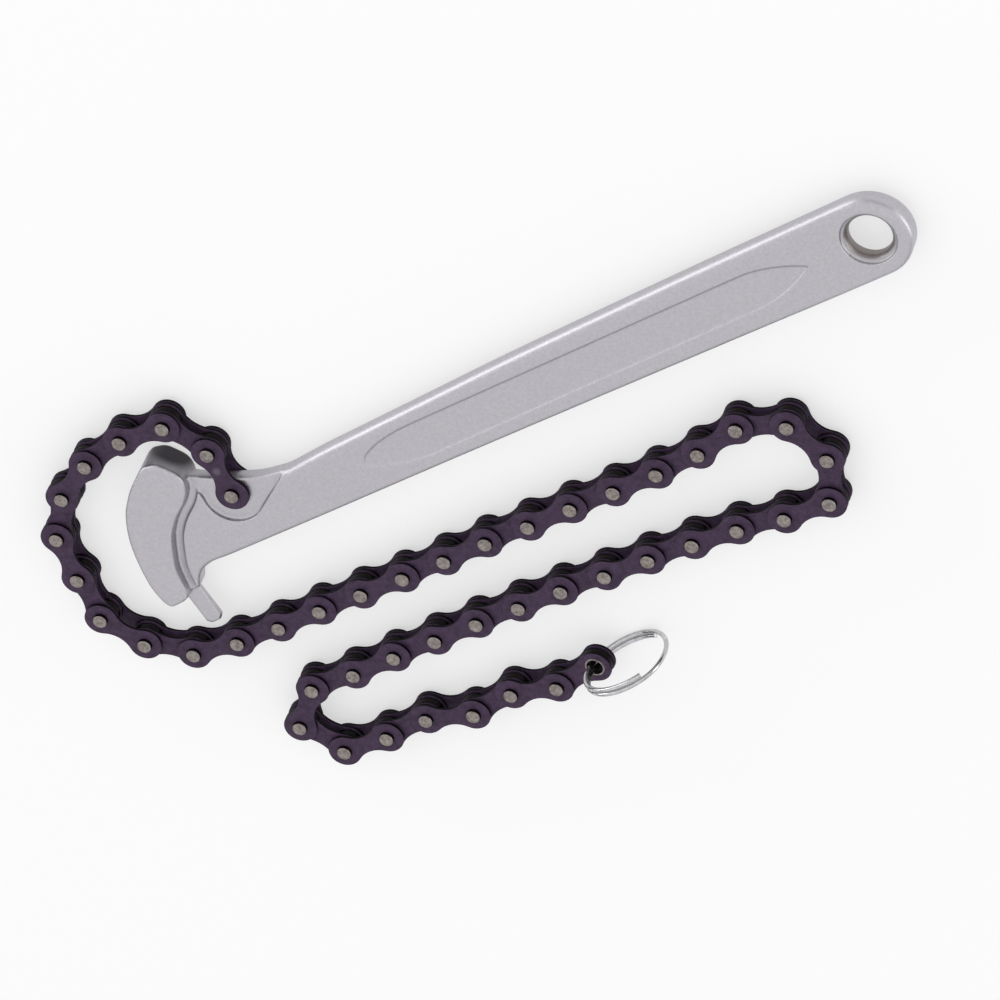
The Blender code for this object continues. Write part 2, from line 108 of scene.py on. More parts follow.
# Roller chain
PITCH = 0.0127
LOBE_RADIUS = 0.0043
OUTER_WAIST = 0.0046
INNER_WAIST = 0.0054
PLATE_THICKNESS = 0.0009
PLATE_EDGE_ROUND = 0.00018
INNER_WIDTH = 0.0022
PLATE_GAP = 0.0003
PIN_RADIUS = 0.0018
PIN_PROUD = 0.0011
PIN_HEAD_ROUND = 0.00025
PIN_HEAD_DISH = 0.00006
PIN_FACE_SHARE = 0.72
PIN_DISH_SHARE = 0.55
PIN_HOLE_PLAY = 0.00006
BUSH_BORE_RADIUS = 0.00215
BUSH_RADIUS = 0.0026
BUSH_EDGE_ROUND = 0.00006
ROLLER_RADIUS = 0.003875
ROLLER_GAP = 0.0003
ROLLER_EDGE_ROUND = 0.0002
LINKS = 46

# Split ring
RING_RADIUS = 0.0111
RING_WIRE_RADIUS = 0.0006
RING_TURN_GAP = 0.00015
RING_HEADING = -5.0
RING_LEAN = 25.6
RING_SEAM = 209.0
RING_WINDOW = 57.0

# Limits of the shank's rounding: the largest radius counted, and the share of a curve's radius it may take
LARGEST_RADIUS = 1.0
ROUND_SHARE_OF_CURVE = 0.7

# How far cutters run past what they cut, angles in degrees, and the largest Z in an upright face's normal
OVERRUN = 0.0020
SMOOTH_ANGLE = 35.0
WIRE_SMOOTH_ANGLE = 60.0
SIDE_FACE_SLOPE = 0.5
ROUND_FROM_ANGLE = 60.0
END_ARC = 88.0
POCKET_ARC = (165.0, 298.0)

# Outlines as shares of the jaw's box, of the eye's radius, and of the shank's reach and end radius
JAW_FRONT_SHARES = (
    (0.685, 0.985), (0.485, 0.893), (0.370, 0.821), (0.270, 0.743), (0.156, 0.607),
    (0.081, 0.468), (0.030, 0.324), (0.000, 0.182), (0.012, 0.060), (0.052, 0.000),
)
JAW_FOOT_SHARES = ((0.200, 0.003), (0.267, 0.019))
JAW_REAR_SHARES = (
    (0.285, 0.045), (0.333, 0.198), (0.396, 0.299), (0.522, 0.447), (0.622, 0.524),
    (0.733, 0.586), (0.859, 0.642), (0.959, 0.709), (1.000, 0.781), (0.993, 0.850),
    (0.940, 0.915), (0.868, 0.976), (0.744, 1.000),
)
NECK_SHARES = ((0.389, 0.027), (0.452, 0.092), (0.541, 0.140), (0.678, 0.161))
NECK_INSIDE_SHARES = ((0.80, 0.80), (0.32, 0.47), (0.20, 0.10), (0.28, 0.025))
EYE_SHARES = ((3.49, -0.06), (2.00, 0.19), (0.96, 0.57), (0.00, 1.00), (-0.85, 1.42), (-1.66, 1.93))
SHANK_LOWER_SHARES = (
    (-0.064, 0.733), (0.10, 0.775), (0.30, 0.81), (0.50, 0.859), (0.75, 0.928), (0.92, 0.985),
)
SHANK_UPPER_SHARES = (
    (0.92, 0.995), (0.75, 0.975), (0.60, 0.94), (0.45, 0.888), (0.31, 0.804), (0.15, 0.708),
)

# Counts of faces and steps, and how many outline points a direction or a mean reaches each way
CURVE_STEPS = 8
END_STEPS = 40
HOLE_STEPS = 72
PANEL_STEPS = 14
POCKET_STEPS = 32
ROUND_SEGMENTS = 4
ROUND_STEPS = 8
NORMAL_REACH = 3
LOBE_STEPS = 22
WAIST_STEPS = 8
EDGE_SEGMENTS = 3
PIN_SIDES = 32
ROLLER_SIDES = 40
RING_STEPS_PER_TURN = 96
WIRE_RESOLUTION = 4

# Places that follow from the sizes above
MIDDLE = JAW_THICKNESS / 2
ANCHOR = Vector((
    JAW_WIDTH * (1 - JAW_REST_SHARES[0]) + JAW_CLEARANCE + LOBE_RADIUS,
    JAW_LENGTH * (1 - JAW_REST_SHARES[1]) - HORN_ABOVE_ANCHOR,
    MIDDLE,
))
SHANK_END = Vector((ANCHOR.x + SHANK_REACH, ANCHOR.y - SHANK_AXIS_BELOW_ANCHOR, MIDDLE))
INNER_PLATE = INNER_WIDTH / 2
OUTER_PLATE = INNER_PLATE + PLATE_THICKNESS + PLATE_GAP
PIN_END = OUTER_PLATE + PLATE_THICKNESS + PIN_PROUD

# Camera, fitted to the pin heads
CAMERA_PLACE = Vector((0.988394, 0.638624, 1.423484))
CAMERA_TARGET = Vector((0.088594, -0.026946, 0.009284))
CAMERA_UP = Vector((0.34796, 0.74339, -0.57123))
CAMERA_LENS = 268.34
SENSOR_WIDTH = 36.0
CAMERA_CLIP_END = 20.0

# Clouds and grain of the metals
CLOUD_DETAIL = 6
CLOUD_ROUGHNESS = 0.7
CLOUD_SPAN = (0.3, 0.7)
GRAIN_DETAIL = 2
ROUGHNESS_SPREAD = 0.06
GRAIN_STRENGTH = 0.5
GRAIN_DEPTH_SHARE = 0.12

# Painted shadow of the chain on the horn, grime in the hanging hole and a scuff on the first link
# Painted shadow: the horn's end wall darkened round the place where the chain passes over it
CHAIN_SHADOW_CENTRE = (0.0175, 0.0185, 0.0005)
CHAIN_SHADOW_REACH = (0.0050, 0.0098)
CHAIN_SHADOW_COVER = 0.93
CHAIN_SHADOW_COLOUR = (0.025, 0.018, 0.026)
GRIME_REACH = (0.0057, 0.0073)
GRIME_COVER = 0.7
GRIME_COLOUR = (0.20, 0.17, 0.14)
SCUFF_PLACE = (0.0074, 0.0003, 0.0032)
SCUFF_REACH = (0.0002, 0.0015)
SCUFF_COVER = 0.35
SCUFF_COLOUR = (0.24, 0.22, 0.24)

# Floor, sky and lamps, with powers in watts
FLOOR_SIZE = 6.0
FLOOR_COLOUR = (0.96, 0.96, 0.96)
FLOOR_BOUNCE = (0.45, 0.45, 0.45)
FLOOR_ROUGHNESS = 0.9
SKY_TOP = 1.0
SKY_LOW = 0.35
SKY_RISE = (-0.1, 0.7)
FLOOR_GLOW_SHARE = 0.55
KEY_PLACE = (-0.60, 0.95, 0.165)
KEY_TARGET = (0.09, -0.03, 0)
KEY_SIZE = (1.4, 0.31)
KEY_POWER = 4.8
FILL_PLACE = (1.15, -0.40, 0.17)
FILL_TARGET = (0.18, -0.02, 0)
FILL_SIZE = (0.8, 0.30)
FILL_POWER = 2.6

# Each look: colour, roughness, metallic, specular, size of grain, size of clouds and contrast of clouds
LOOK_RECIPES = {
    "satin_plated_steel": ((0.51, 0.495, 0.53), 0.43, 1.0, 0.5, 0.0004, 0.0008, 0.11),
    "blackened_steel": ((0.053, 0.032, 0.064), 0.50, 0.0, 0.15, 0.0003, 0.0015, 0.40),
    # The upright sides and the rollers get near-black copies of the blackened steel: painted shade.
    "shaded_blackened_sides": ((0.004, 0.003, 0.004), 0.40, 0.0, 0.03, 0.0003, 0.0015, 0.50),
    "shaded_blackened_rollers": ((0.006, 0.004, 0.004), 0.30, 0.0, 0.05, 0.0003, 0.0015, 0.50),
    "ground_steel": ((0.25, 0.22, 0.205), 0.38, 0.8, 0.5, 0.0003, 0.0008, 0.60),
    "nickel_wire": ((0.56, 0.56, 0.58), 0.20, 1.0, 0.5, 0.0003, 0.0012, 0.25),
}


def polar(centre, radius, degrees):
    angle = math.radians(degrees)
    return (centre[0] + radius * math.cos(angle), centre[1] + radius * math.sin(angle))


def arc(centre, radius, start, end, steps):
    """Points on an arc, both ends included, with angles in degrees."""
    return [polar(centre, radius, start + (end - start) * step / steps) for step in range(steps + 1)]


def smooth(points):
    """A curve through the points."""
    ends = [points[0], *points, points[-1]]
    found = []
    for before, start, end, after in zip(ends, ends[1:], ends[2:], ends[3:]):
        for step in range(CURVE_STEPS):
            t = step / CURVE_STEPS
            point = []
            for a, b, c, d in zip(before, start, end, after):
                square = (2 * a - 5 * b + 4 * c - d) * t**2
                cube = (3 * b - a - 3 * c + d) * t**3
                point.append((2 * b + (c - a) * t + square + cube) / 2)
            found.append(tuple(point))
    return [*found, tuple(points[-1])]


def grown(points, distance):
    """The outline moved outwards, for one that runs anticlockwise."""
    moved = []
    for before, here, after in zip([points[-1], *points], points, [*points[1:], points[0]]):
        into = (Vector(here) - Vector(before)).normalized()
        out_of = (Vector(after) - Vector(here)).normalized()
        side = Vector((into.y + out_of.y, -into.x - out_of.x)).normalized()
        moved.append(tuple(Vector(here) + side * distance))
    return moved


def softened(points, spread):
    """The outline as evenly spaced points, with its corners rounded over about this distance."""
    closed = np.array([*points, points[0]])
    lengths = np.linalg.norm(np.diff(closed, axis=0), axis=1)
    at = np.concatenate([[0], np.cumsum(lengths)])
    count = round(at[-1] / OUTLINE_SPACING)
    even = np.linspace(0, at[-1], count, endpoint=False)
    points = np.column_stack([np.interp(even, at, closed[:, 0]), np.interp(even, at, closed[:, 1])])
    reach = round(BLUR_REACH_SHARE * spread / OUTLINE_SPACING)
    steps = range(-reach, reach + 1)
    weights = [math.exp(-((step * OUTLINE_SPACING / spread) ** 2) / 2) for step in steps]
    weighted = [weight * np.roll(points, step, axis=0) for weight, step in zip(weights, steps)]
    return [tuple(point) for point in sum(weighted) / sum(weights)]


def jaw_point(shares):
    return (
        (shares[0] - JAW_REST_SHARES[0]) * JAW_WIDTH,
        (shares[1] - JAW_REST_SHARES[1]) * JAW_LENGTH,
    )


def eye_point(shares):
    return (ANCHOR.x + shares[0] * EYE_RADIUS, ANCHOR.y + shares[1] * EYE_RADIUS)


def shank_point(shares, side):
    return (ANCHOR.x + shares[0] * SHANK_REACH, SHANK_END.y + side * shares[1] * SHANK_END_RADIUS)


def jaw_outline():
    front = smooth([jaw_point(shares) for shares in JAW_FRONT_SHARES])
    foot = [jaw_point(shares) for shares in JAW_FOOT_SHARES]
    rear = smooth([jaw_point(shares) for shares in JAW_REAR_SHARES])
    return softened(front + foot + rear, JAW_CORNER_SPREAD)


def shank_outline():
    neck = smooth([jaw_point(shares) for shares in NECK_SHARES])
    lower = smooth([shank_point(shares, -1) for shares in SHANK_LOWER_SHARES])
    end = arc(SHANK_END, SHANK_END_RADIUS, -END_ARC, END_ARC, END_STEPS)
    upper = smooth([shank_point(shares, 1) for shares in SHANK_UPPER_SHARES])
    eye = smooth([eye_point(shares) for shares in EYE_SHARES])
    inside = [jaw_point(shares) for shares in NECK_INSIDE_SHARES]
    return softened(neck + lower + end + upper + eye + inside, SHANK_CORNER_SPREAD)


def pocket_outline():
    """The recess round the anchor pin, open at the web's upper side."""
    bowl = arc(ANCHOR, POCKET_RADIUS, *POCKET_ARC, POCKET_STEPS)
    runout = (ANCHOR.x + POCKET_RUNOUT, ANCHOR.y)
    beyond = (runout[0] + OVERRUN, runout[1] + OVERRUN)
    above = (ANCHOR.x - POCKET_RADIUS, ANCHOR.y + HORN_ABOVE_ANCHOR)
    return [*bowl, runout, beyond, above]


def panel_outline():
    """The long shallow panel on each side of the shank: pointed ends, blunter above at the jaw's end."""
    half = PANEL_WIDTH / 2
    start = ANCHOR.x + PANEL_START
    shares = [step / PANEL_STEPS for step in range(PANEL_STEPS + 1)]
    pointed = [(PANEL_NOSE * share, half * (1 - (1 - share) ** 2)) for share in shares]
    blunt = [(PANEL_NOSE * share, half * math.sqrt(1 - (1 - share) ** 2)) for share in shares]
    left_low = [(start + x, SHANK_END.y - y) for x, y in pointed]
    right_low = [(start + PANEL_LENGTH - x, SHANK_END.y - y) for x, y in reversed(pointed)]
    right_high = [(start + PANEL_LENGTH - x, SHANK_END.y + y) for x, y in pointed[1:]]
    left_high = [(start + x, SHANK_END.y + y) for x, y in reversed(blunt[1:])]
    return left_low + right_low + right_high + left_high


def spur_outline():
    """The tongue below the jaw that a link of the chain hooks over."""
    left, foot = jaw_point((SPUR_SHARE, 0.0))
    right = left + SPUR_WIDTH
    tip = foot - SPUR_LENGTH
    root = foot + SPUR_ROOT
    return [
        (left, root),
        (left, tip + SPUR_TIP_CUT),
        (left + SPUR_TIP_CUT, tip),
        (right - SPUR_TIP_CUT, tip),
        (right, tip + SPUR_TIP_CUT),
        (right, root),
    ]


def plate_outline(waist):
    """A link plate: two round lobes a pitch apart and a hollowed waist, with its first pin at (0, 0)."""
    half, neck = PITCH / 2, waist / 2
    hollow = (half**2 + neck**2 - LOBE_RADIUS**2) / (2 * (LOBE_RADIUS - neck))
    touch = math.degrees(math.atan2(neck + hollow, half))
    far = arc((PITCH, 0), LOBE_RADIUS, touch - 180, 180 - touch, LOBE_STEPS)
    top = arc((half, neck + hollow), hollow, -touch, touch - 180, WAIST_STEPS)[1:-1]
    near = arc((0, 0), LOBE_RADIUS, touch, 360 - touch, LOBE_STEPS)
    low = arc((half, -neck - hollow), hollow, 180 - touch, touch, WAIST_STEPS)[1:-1]
    return far + top + near + low


def finished(shape, name):
    bmesh.ops.recalc_face_normals(shape, faces=shape.faces)
    mesh = bpy.data.meshes.new(name)
    shape.to_mesh(mesh)
    shape.free()
    return mesh


def prism_mesh(name, outline, low, high):
    """A closed prism over an outline."""
    shape = bmesh.new()
    face = shape.faces.new([shape.verts.new((x, y, low)) for x, y in outline])
    lifted = bmesh.ops.extrude_face_region(shape, geom=[face])["geom"]
    for vert in (item for item in lifted if isinstance(item, bmesh.types.BMVert)):
        vert.co.z = high
    return finished(shape, name)


def turned_mesh(name, profile, centre, sides):
    """A solid of revolution about the vertical through centre, from (radius, height) pairs."""
    shape = bmesh.new()
    rings = []
    for radius, height in profile:
        points = arc(centre, radius, 0, 360, sides)[:-1]
        rings.append([shape.verts.new((x, y, height)) for x, y in points])
    for low, high in zip(rings, rings[1:]):
        for i in range(sides):
            j = (i + 1) % sides
            shape.faces.new((low[i], low[j], high[j], high[i]))
    shape.faces.new(rings[-1])
    shape.faces.new(list(reversed(rings[0])))
    return finished(shape, name)


def tube_mesh(name, profile, sides):
    """A round sleeve about Z from a closed loop of (radius, height) pairs."""
    shape = bmesh.new()
    loops = []
    for radius, height in profile:
        points = arc((0, 0), radius, 0, 360, sides)[:-1]
        loops.append([shape.verts.new((x, y, height)) for x, y in points])
    for first, second in zip(loops, [*loops[1:], loops[0]]):
        for i in range(sides):
            j = (i + 1) % sides
            shape.faces.new((first[i], first[j], second[j], second[i]))
    return finished(shape, name)


def rounded_corner(corner, radius, start):
    """Points round a corner of a (radius, height) profile, from the angle start through a quarter turn."""
    centre = (corner[0] - radius * math.copysign(1, math.cos(math.radians(start + 45))),
              corner[1] - radius * math.copysign(1, math.sin(math.radians(start + 45))))
    return arc(centre, radius, start, start + 90, EDGE_SEGMENTS)


def add_object(name, data):
    obj = bpy.data.objects.new(name, data)
    bpy.context.scene.collection.objects.link(obj)
    return obj


def boolean(obj, other, operation):
    modifier = obj.modifiers.new(other.name, "BOOLEAN")
    modifier.operation = operation
    modifier.object = other
    modifier.solver = "EXACT"


def rounded(obj, width, segments):
    modifier = obj.modifiers.new("Rounded edges", "BEVEL")
    modifier.width = width
    modifier.segments = segments
    modifier.limit_method = "ANGLE"
    modifier.angle_limit = math.radians(ROUND_FROM_ANGLE)
    modifier.use_clamp_overlap = False


def shade(mesh, angle=SMOOTH_ANGLE):
    mesh.shade_smooth()
    mesh.set_sharp_from_angle(angle=math.radians(angle))


def evaluated_mesh(obj, name):
    """The object's mesh with its modifiers done, after which the object and its helpers go."""
    graph = bpy.context.evaluated_depsgraph_get()
    mesh = bpy.data.meshes.new_from_object(obj.evaluated_get(graph), depsgraph=graph)
    mesh.name = name
    for other in [modifier.object for modifier in obj.modifiers if modifier.type == "BOOLEAN"]:
        bpy.data.objects.remove(other)
    bpy.data.objects.remove(obj)
    return mesh


def hole_profile():
    """The hanging hole's section: a wide mouth, a step and a narrow land, alike from both sides."""
    half = SHANK_THICKNESS / 2
    step = half - HOLE_RIM
    upper = (
        (HOLE_RADIUS, HOLE_LAND / 2),
        (HOLE_STEP_RADIUS, step),
        (HOLE_MOUTH_RADIUS, step),
        (HOLE_MOUTH_RADIUS, half + OVERRUN),
    )
    lower = [(radius, MIDDLE - height) for radius, height in reversed(upper)]
    return lower + [(radius, MIDDLE + height) for radius, height in upper]


def blurred(values, reach):
    """A closed row of numbers, each the mean of its neighbours within reach."""
    return sum(np.roll(values, step) for step in range(-reach, reach + 1)) / (2 * reach + 1)


def shank_form_mesh(name, outline):
    """The shank's plate: a wide rounding along its upper side, a smaller one along its lower side."""
    points = np.array(outline)
    along = np.roll(points, -NORMAL_REACH, axis=0) - np.roll(points, NORMAL_REACH, axis=0)
    along /= np.linalg.norm(along, axis=1)[:, None]
    outward = np.column_stack([along[:, 1], -along[:, 0]])
    nearby = np.roll(along, -1, axis=0)
    turn = np.arcsin(np.clip(along[:, 0] * nearby[:, 1] - along[:, 1] * nearby[:, 0], -1, 1))
    curvature = np.maximum(blurred(turn, NORMAL_REACH) / OUTLINE_SPACING, 1 / LARGEST_RADIUS)
    upper = np.clip(((points[:, 1] - SHANK_END.y) / SHANK_END_RADIUS + 1) / 2, 0, 1)
    widths = SHANK_EDGE_ROUND * (SHANK_LOWER_ROUND_SHARE + (1 - SHANK_LOWER_ROUND_SHARE) * upper)
    widths = np.minimum(widths, ROUND_SHARE_OF_CURVE / curvature)
    lowest = np.min([np.roll(widths, step) for step in range(-NORMAL_REACH, NORMAL_REACH + 1)], axis=0)
    widths = blurred(lowest, NORMAL_REACH)
    half = SHANK_THICKNESS / 2
    quarter = [math.pi / 2 * step / ROUND_STEPS for step in range(ROUND_STEPS + 1)]
    section = [(1 - math.sin(tilt), 1 - math.cos(tilt), 1) for tilt in quarter]
    section += [(inward, down, -1) for inward, down, _ in reversed(section)]
    shape = bmesh.new()
    rings = []
    for inward, down, side in section:
        places = points - outward * (widths * inward)[:, None]
        heights = MIDDLE + side * (half - widths * down)
        rings.append([shape.verts.new((x, y, z)) for (x, y), z in zip(places, heights)])
    for high, low in zip(rings, rings[1:]):
        for i in range(len(points)):
            j = (i + 1) % len(points)
            shape.faces.new((low[i], low[j], high[j], high[i]))
    shape.faces.new(rings[0])
    shape.faces.new(list(reversed(rings[-1])))
    return finished(shape, name)


def handle_mesh():
    """The forging: its rounded forms joined and cut, then remeshed finely and smoothed."""
    half = SHANK_THICKNESS / 2
    floor = POCKET_FLOOR_THICKNESS / 2
    over = JAW_THICKNESS / 2 + OVERRUN
    body = add_object("handle_form", shank_form_mesh("handle_form", shank_outline()))
    recesses = (
        ("pocket", pocket_outline(), floor, POCKET_FILLET),
        ("groove", grown(jaw_outline(), GROOVE_WIDTH), floor, GROOVE_FILLET),
        ("panel", panel_outline(), half - PANEL_DEPTH, 0),
    )
    for name, outline, depth, fillet in recesses:
        upper = add_object(name + "_upper", prism_mesh(name, outline, MIDDLE + depth, MIDDLE + over))
        lower = add_object(name + "_lower", prism_mesh(name, outline, MIDDLE - over, MIDDLE - depth))
        for cutter in (upper, lower):
            if fillet:
                rounded(cutter, fillet, ROUND_SEGMENTS)
            boolean(body, cutter, "DIFFERENCE")
    jaw = add_object("jaw_form", prism_mesh("jaw_form", jaw_outline(), 0, JAW_THICKNESS))
    rounded(jaw, JAW_EDGE_ROUND, ROUND_SEGMENTS)
    boolean(body, jaw, "UNION")
    tongue = SPUR_THICKNESS / 2
    spur = add_object("spur_form", prism_mesh("spur_form", spur_outline(), MIDDLE - tongue, MIDDLE + tongue))
    rounded(spur, SPUR_EDGE_ROUND, ROUND_SEGMENTS)
    boolean(body, spur, "UNION")
    hole = turned_mesh("hole_form", hole_profile(), SHANK_END, HOLE_STEPS)
    boolean(body, add_object("hole_form", hole), "DIFFERENCE")
    bore_profile = ((ANCHOR_BORE_RADIUS, -OVERRUN), (ANCHOR_BORE_RADIUS, JAW_THICKNESS + OVERRUN))
    bore = turned_mesh("bore_form", bore_profile, ANCHOR, PIN_SIDES)
    boolean(body, add_object("bore_form", bore), "DIFFERENCE")
    remesh = body.modifiers.new("Fine mesh", "REMESH")
    remesh.mode = "VOXEL"
    remesh.voxel_size = HANDLE_VOXEL
    remesh.adaptivity = 0
    soften = body.modifiers.new("Soft edges", "SMOOTH")
    soften.factor = SMOOTHING_STRENGTH
    soften.iterations = HANDLE_SMOOTHING
    mesh = evaluated_mesh(body, "wrench_handle")
    mesh.shade_smooth()
    return mesh


def plate_mesh(name, waist, low, high, hole_radius):
    """A stamped plate with tumbled edges and a hole at each end."""
    plate = add_object(name, prism_mesh(name, plate_outline(waist), low, high))
    rounded(plate, PLATE_EDGE_ROUND, EDGE_SEGMENTS)
    for along in (0.0, PITCH):
        profile = ((hole_radius, low - OVERRUN), (hole_radius, high + OVERRUN))
        boolean(plate, add_object("hole", turned_mesh("hole", profile, (along, 0), PIN_SIDES)), "DIFFERENCE")
    mesh = evaluated_mesh(plate, name)
    shade(mesh)
    return mesh


def pin_profile():
    """A riveted pin: rounded rims and a slightly sunk middle at both ends."""
    rim = rounded_corner((PIN_RADIUS, PIN_END), PIN_HEAD_ROUND, 0)
    inside = [(PIN_RADIUS * PIN_FACE_SHARE, PIN_END), (PIN_RADIUS * PIN_DISH_SHARE, PIN_END - PIN_HEAD_DISH)]
    half = rim + inside
    return [(radius, -height) for radius, height in reversed(half)] + half


def sleeve_profile(outer, inner, half, edge):
    """A sleeve's section with rounded outer rims."""
    upper = rounded_corner((outer, half), edge, 0)
    lower = [(radius, -height) for radius, height in reversed(upper)]
    return [(inner, -half)] + lower + upper + [(inner, half)]


def coloured(mesh, look, shaded_side_look=None):
    """The mesh with its look, and with a darker copy of it on the faces that stand upright: painted shade."""
    mesh.materials.clear()
    mesh.materials.append(look)
    if shaded_side_look:
        mesh.materials.append(shaded_side_look)
        for face in mesh.polygons:
            face.material_index = int(abs(face.normal.z) < SIDE_FACE_SLOPE)
    return mesh


def joined_mesh(name, parts):
    """One mesh from (mesh, offset along the link) pairs, with the looks of all of them."""
    shape = bmesh.new()
    looks = []
    for mesh, along in parts:
        verts, faces = len(shape.verts), len(shape.faces)
        shape.from_mesh(mesh)
        shape.verts.ensure_lookup_table()
        shape.faces.ensure_lookup_table()
        for vert in shape.verts[verts:]:
            vert.co.x += along
        own = list(mesh.materials)
        looks += [look for look in own if look not in looks]
        for face in shape.faces[faces:]:
            face.material_index = looks.index(own[face.material_index])
    mesh = bpy.data.meshes.new(name)
    shape.to_mesh(mesh)
    shape.free()
    for look in looks:
        mesh.materials.append(look)
    return mesh


def link_frames(joints):
    """Each link's matrix from the hinges: its origin on its first pin, X along the link and Z up the pin."""
    places = [Vector(joints[f"hinge_{number:02d}"]["pos_m"]) for number in range(1, LINKS + 1)]
    places.append(Vector(joints["ring_swing"]["pos_m"]))
    frames = []
    for number, (start, end) in enumerate(zip(places, places[1:]), 1):
        along = (end - start).normalized()
        axis = Vector(joints[f"hinge_{number:02d}"]["axis"])
        axis = axis if axis.z > 0 else -axis
        across = axis.cross(along)
        turn = Matrix((along, across, axis)).transposed()
        frames.append(Matrix.Translation(start) @ turn.to_4x4())
    return frames


def piece(name, mesh, matrix, body, nodes):
    """One object of the finished model; its own copy of the mesh is moved into place."""
    placed = mesh.copy()
    placed.name = name
    placed.transform(matrix)
    obj = add_object(name, placed)
    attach(obj, body)
    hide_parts(*nodes)


def chain(joints, looks):
    plates, pins, shaded_sides = looks["blackened_steel"], looks["ground_steel"], looks["shaded_blackened_sides"]
    hole = PIN_RADIUS + PIN_HOLE_PLAY
    bush_hole = BUSH_RADIUS + PIN_HOLE_PLAY
    outside = INNER_PLATE + PLATE_THICKNESS
    roller_half = INNER_PLATE - ROLLER_GAP / 2
    far = OUTER_PLATE + PLATE_THICKNESS
    outer_upper = plate_mesh("outer_upper_plate", OUTER_WAIST, OUTER_PLATE, far, hole)
    outer_lower = plate_mesh("outer_lower_plate", OUTER_WAIST, -far, -OUTER_PLATE, hole)
    inner_upper = plate_mesh("inner_upper_plate", INNER_WAIST, INNER_PLATE, outside, bush_hole)
    inner_lower = plate_mesh("inner_lower_plate", INNER_WAIST, -outside, -INNER_PLATE, bush_hole)
    # Upright faces of plates, pins and bushes take the near-black copy of the blackened steel: painted shade.
    for mesh in (outer_upper, outer_lower, inner_upper, inner_lower):
        coloured(mesh, plates, shaded_sides)
    pin = coloured(turned_mesh("pin", pin_profile(), (0, 0), PIN_SIDES), pins, shaded_sides)
    shade(pin)
    bush_profile = sleeve_profile(BUSH_RADIUS, BUSH_BORE_RADIUS, outside, BUSH_EDGE_ROUND)
    bush = tube_mesh("bush", bush_profile, PIN_SIDES)
    shade(coloured(bush, pins, shaded_sides))
    roller_profile = sleeve_profile(ROLLER_RADIUS, bush_hole, roller_half, ROLLER_EDGE_ROUND)
    roller = tube_mesh("roller", roller_profile, ROLLER_SIDES)
    # The rollers are all in a near-black copy of the blackened steel: painted shade.
    shade(coloured(roller, looks["shaded_blackened_rollers"]))
    outer_plates = joined_mesh("outer_plates", ((outer_upper, 0), (outer_lower, 0)))
    inner_plates = joined_mesh("inner_plates", ((inner_upper, 0), (inner_lower, 0)))
    pin_pair = joined_mesh("pin_pair", ((pin, 0), (pin, PITCH)))
    roller_pair = joined_mesh("roller_pair", ((roller, 0), (roller, PITCH), (bush, 0), (bush, PITCH)))
    frames = link_frames(joints)
    stain_and_painted_shadow(plates, frames[0] @ Vector(SCUFF_PLACE), SCUFF_REACH, SCUFF_COVER, SCUFF_COLOUR)
    for number, matrix in enumerate(frames, 1):
        link = f"link_{number:02d}"
        last = matrix @ Matrix.Translation((PITCH, 0, 0))
        if number in (1, LINKS - 1):
            ends = ("anchor_pin", "link_01_pin") if number == 1 else (link + "_first_pin", link + "_last_pin")
            for mesh, side in ((outer_upper, "_upper_plate"), (outer_lower, "_lower_plate")):
                piece(link + "_detailed" + side, mesh, matrix, link, [link + side])
            for node, place in zip(ends, (matrix, last)):
                piece(node + "_detailed", pin, place, link, [node])
        elif number == LINKS:
            for mesh, side in ((inner_upper, "_upper_plate"), (inner_lower, "_lower_plate")):
                piece(link + "_detailed" + side, mesh, matrix, link, [link + side])
            for end, place in (("first", matrix), ("last", last)):
                node = f"{link}_{end}"
                piece(node + "_bush_detailed", bush, place, link, [node + "_bush"])
                piece(node + "_roller_detailed", roller, place, end + "_roller", [node + "_roller"])
        elif number % 2:
            piece(link + "_plates", outer_plates, matrix, link, [link])
            piece(link + "_pins", pin_pair, matrix, link, [link])
        else:
            piece(link + "_plates", inner_plates, matrix, link, [link])
            piece(link + "_rollers", roller_pair, matrix, link, [link])


def ring_path():
    """The wire's middle line, upright in XZ with the bush at the origin: under two turns, side by side."""
    step = 2 * RING_WIRE_RADIUS + RING_TURN_GAP
    turns = 720 - 2 * RING_WINDOW
    count = round(turns / 360 * RING_STEPS_PER_TURN)
    bow = (INNER_PLATE + PLATE_THICKNESS) ** 2 / (2 * RING_RADIUS)
    centre = (RING_RADIUS - bow, 0)
    points = []
    for i in range(count + 1):
        beyond = RING_WINDOW + turns * i / count
        across = min(max((beyond - 360 + RING_WINDOW) / (2 * RING_WINDOW), 0), 1)
        across = across * across * (3 - 2 * across)
        x, z = polar(centre, RING_RADIUS, 180 - RING_SEAM - beyond)
        points.append(Vector((x, step * (across - 1 / 2), z)))
    return points


def split_ring(bush, look):
    curve = bpy.data.curves.new("split_ring_wire", "CURVE")
    curve.dimensions = "3D"
    curve.bevel_depth = RING_WIRE_RADIUS
    curve.bevel_resolution = WIRE_RESOLUTION
    curve.use_fill_caps = True
    points = ring_path()
    spline = curve.splines.new("POLY")
    spline.points.add(len(points) - 1)
    for target, point in zip(spline.points, points):
        target.co = (*point, 1)
    wire = add_object("split_ring_wire_form", curve)
    mesh = evaluated_mesh(wire, "split_ring_wire")
    shade(coloured(mesh, look), WIRE_SMOOTH_ANGLE)
    heading = Matrix.Rotation(math.radians(RING_HEADING), 4, "Z")
    lean = Matrix.Rotation(math.radians(-RING_LEAN), 4, "Y")
    matrix = Matrix.Translation(bush) @ heading @ lean
    piece("split_ring_wire", mesh, matrix, "split_ring", ["split_ring"])


